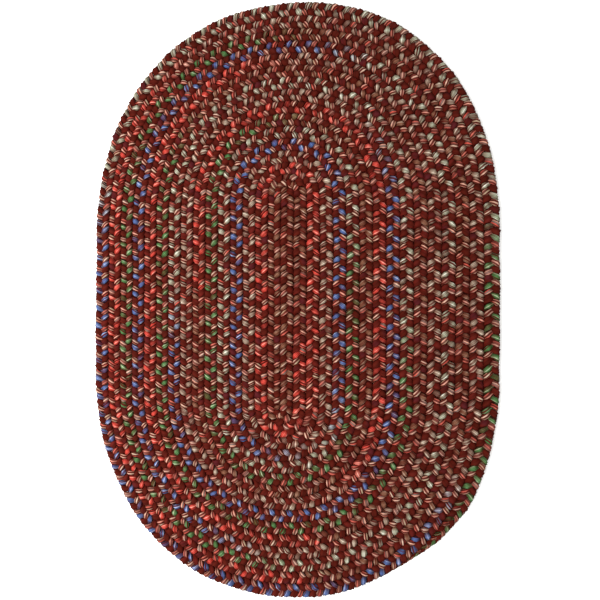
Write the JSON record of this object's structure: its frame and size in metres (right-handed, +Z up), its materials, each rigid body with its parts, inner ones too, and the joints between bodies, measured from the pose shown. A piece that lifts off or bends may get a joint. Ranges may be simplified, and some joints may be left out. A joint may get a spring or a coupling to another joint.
{
  "type": "oval braided rug",
  "caption": "Flat oval floor rug of thick braid wound into a spiral and sewn row to row, ribbed on both faces, dark burgundy with flecks of bright yarn.",
  "frame": {"origin": "middle of the oval's box, on the underside, where the rug rests on the floor", "axes": "+Z up out of the top face, +Y along the rug's long axis, +X along its short axis; seen from above the braid winds outwards clockwise and its outer end is sewn away at the -Y, +X corner"},
  "size_m": [0.6076, 0.8848, 0.01],
  "materials": {
    "braided_yarn": "matt braided yarn, dark burgundy, flecked strands and space-dyed accent strands of red, green, blue and beige"
  },
  "bodies": {
    "root": {"rug": "braided_yarn"}
  },
  "joints": []
}
